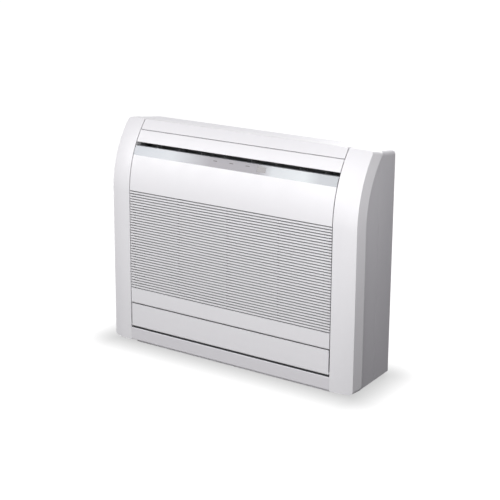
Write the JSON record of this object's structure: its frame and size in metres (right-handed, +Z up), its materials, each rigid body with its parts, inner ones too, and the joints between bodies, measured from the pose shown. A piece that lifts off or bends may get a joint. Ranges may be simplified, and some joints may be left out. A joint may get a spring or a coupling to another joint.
{
  "type": "floor console air conditioner",
  "caption": "White floor-standing console air conditioner indoor unit with a slotted intake grille door, silver display strip, upper and lower air outlets and flat side covers.",
  "frame": {"origin": "centre of the footprint at floor level, under the middle of the cabinet", "axes": "+Z up, +Y towards the wall behind, -Y out of the front, +X along the width to the right of someone who faces the front"},
  "size_m": [0.74, 0.2, 0.6],
  "materials": {
    "cover_white": "satin",
    "body_grey": "matte",
    "strip_silver": "satin",
    "window_tint": "gloss",
    "lamp_lens": "gloss",
    "duct_black": "matte",
    "filter_net": "matte",
    "fin_aluminium": "satin",
    "copper": "satin",
    "brass": "satin",
    "zinc_steel": "satin",
    "motor_case": "satin",
    "bearing_rubber": "matte",
    "board_green": "matte",
    "control_plastic": "satin"
  },
  "bodies": {
    "cabinet": {"base_foot": "body_grey", "base_screws": "zinc_steel", "circuit_board": "board_green", "coil_end_sheets": "fin_aluminium", "control_box": "zinc_steel", "control_panel": "control_plastic", "display_board": "board_green", "drain_pan": "duct_black", "drain_spigot": "duct_black", "fan_bearings": "bearing_rubber", "fin_pack": "fin_aluminium", "flap_motor": "motor_case", "frame_screws": "zinc_steel", "front_housing": "body_grey", "gas_line": "copper", "gas_union": "brass", "left_air_filter": "filter_net", "left_end_plate": "zinc_steel", "left_side_cover": "cover_white", "liquid_line": "copper", "liquid_union": "brass", "louvre_motor": "motor_case", "lower_duct_floor": "duct_black", "lower_duct_roof": "duct_black", "lower_fan_casing": "duct_black", "lower_fan_motor": "motor_case", "lower_front_panel": "cover_white", "rear_base": "body_grey", "return_bends": "copper", "right_air_filter": "filter_net", "right_end_plate": "zinc_steel", "right_side_cover": "cover_white", "terminal_block": "control_plastic", "top_rail": "cover_white", "upper_duct_floor": "duct_black", "upper_fan_casing": "duct_black", "upper_fan_motor": "motor_case"},
    "grille_door": {"intake_grille": "cover_white", "display_strip": "strip_silver", "receiver_window": "window_tint", "indicator_lamps": "lamp_lens"},
    "louvre": {"upper_louvre": "cover_white"},
    "flap": {"lower_flap": "cover_white"},
    "upper_rotor": {"upper_fan": "duct_black"},
    "lower_rotor": {"lower_fan": "duct_black"},
    "right_vane_1": {"right_vane_1": "duct_black"},
    "right_vane_2": {"right_vane_2": "duct_black"},
    "right_vane_3": {"right_vane_3": "duct_black"},
    "right_vane_4": {"right_vane_4": "duct_black"},
    "right_link": {"right_vane_link": "duct_black"},
    "left_vane_1": {"left_vane_1": "duct_black"},
    "left_vane_2": {"left_vane_2": "duct_black"},
    "left_vane_3": {"left_vane_3": "duct_black"},
    "left_vane_4": {"left_vane_4": "duct_black"},
    "left_link": {"left_vane_link": "duct_black"},
    "button": {"manual_button": "control_plastic"},
    "selector": {"outlet_switch": "control_plastic"}
  },
  "joints": [
    {"name": "grille_hinge", "type": "hinge", "parent": "cabinet", "child": "grille_door", "pos_m": [0, -0.096, 0.1185], "axis": [1, 0, 0], "range_deg": [0, 80]},
    {"name": "louvre_hinge", "type": "hinge", "parent": "cabinet", "child": "louvre", "pos_m": [0, -0.04707, 0.57133], "axis": [-1, 0, 0], "range_deg": [0, 60]},
    {"name": "flap_hinge", "type": "hinge", "parent": "cabinet", "child": "flap", "pos_m": [0, -0.096, 0.0525], "axis": [1, 0, 0], "range_deg": [0, 75]},
    {"name": "upper_fan_spin", "type": "hinge", "parent": "cabinet", "child": "upper_rotor", "pos_m": [0, 0.028, 0.503], "axis": [1, 0, 0], "continuous": true},
    {"name": "lower_fan_spin", "type": "hinge", "parent": "cabinet", "child": "lower_rotor", "pos_m": [0, 0.03, 0.098], "axis": [1, 0, 0], "continuous": true},
    {"name": "right_vane_1_turn", "type": "hinge", "parent": "cabinet", "child": "right_vane_1", "pos_m": [0.04, -0.03657, 0.51641], "axis": [0, 0.4738, 0.8806], "range_deg": [-35, 35]},
    {"name": "right_vane_2_turn", "type": "hinge", "parent": "cabinet", "child": "right_vane_2", "pos_m": [0.11, -0.03657, 0.51641], "axis": [0, 0.4738, 0.8806], "range_deg": [-35, 35]},
    {"name": "right_vane_3_turn", "type": "hinge", "parent": "cabinet", "child": "right_vane_3", "pos_m": [0.18, -0.03657, 0.51641], "axis": [0, 0.4738, 0.8806], "range_deg": [-35, 35]},
    {"name": "right_vane_4_turn", "type": "hinge", "parent": "cabinet", "child": "right_vane_4", "pos_m": [0.25, -0.03657, 0.51641], "axis": [0, 0.4738, 0.8806], "range_deg": [-35, 35]},
    {"name": "right_link_turn", "type": "hinge", "parent": "right_vane_1", "child": "right_link", "pos_m": [0.04, -0.00013, 0.55881], "axis": [0, 0.4738, 0.8806], "range_deg": [-35, 35]},
    {"name": "left_vane_1_turn", "type": "hinge", "parent": "cabinet", "child": "left_vane_1", "pos_m": [-0.04, -0.03657, 0.51641], "axis": [0, 0.4738, 0.8806], "range_deg": [-35, 35]},
    {"name": "left_vane_2_turn", "type": "hinge", "parent": "cabinet", "child": "left_vane_2", "pos_m": [-0.11, -0.03657, 0.51641], "axis": [0, 0.4738, 0.8806], "range_deg": [-35, 35]},
    {"name": "left_vane_3_turn", "type": "hinge", "parent": "cabinet", "child": "left_vane_3", "pos_m": [-0.18, -0.03657, 0.51641], "axis": [0, 0.4738, 0.8806], "range_deg": [-35, 35]},
    {"name": "left_vane_4_turn", "type": "hinge", "parent": "cabinet", "child": "left_vane_4", "pos_m": [-0.25, -0.03657, 0.51641], "axis": [0, 0.4738, 0.8806], "range_deg": [-35, 35]},
    {"name": "left_link_turn", "type": "hinge", "parent": "left_vane_1", "child": "left_link", "pos_m": [-0.04, -0.00013, 0.55881], "axis": [0, 0.4738, 0.8806], "range_deg": [-35, 35]},
    {"name": "button_press", "type": "slide", "parent": "cabinet", "child": "button", "axis": [0, 1, 0], "range_m": [0, 0.0012], "stiffness_N_per_m": 600},
    {"name": "selector_slide", "type": "slide", "parent": "cabinet", "child": "selector", "axis": [0, 0, 1], "range_m": [-0.003, 0.003]}
  ],
  "couplings": [
    {"joint": "right_vane_2_turn", "follows": "right_vane_1_turn", "ratio": 1},
    {"joint": "right_vane_3_turn", "follows": "right_vane_1_turn", "ratio": 1},
    {"joint": "right_vane_4_turn", "follows": "right_vane_1_turn", "ratio": 1},
    {"joint": "right_link_turn", "follows": "right_vane_1_turn", "ratio": -1},
    {"joint": "left_vane_2_turn", "follows": "left_vane_1_turn", "ratio": 1},
    {"joint": "left_vane_3_turn", "follows": "left_vane_1_turn", "ratio": 1},
    {"joint": "left_vane_4_turn", "follows": "left_vane_1_turn", "ratio": 1},
    {"joint": "left_link_turn", "follows": "left_vane_1_turn", "ratio": -1}
  ]
}
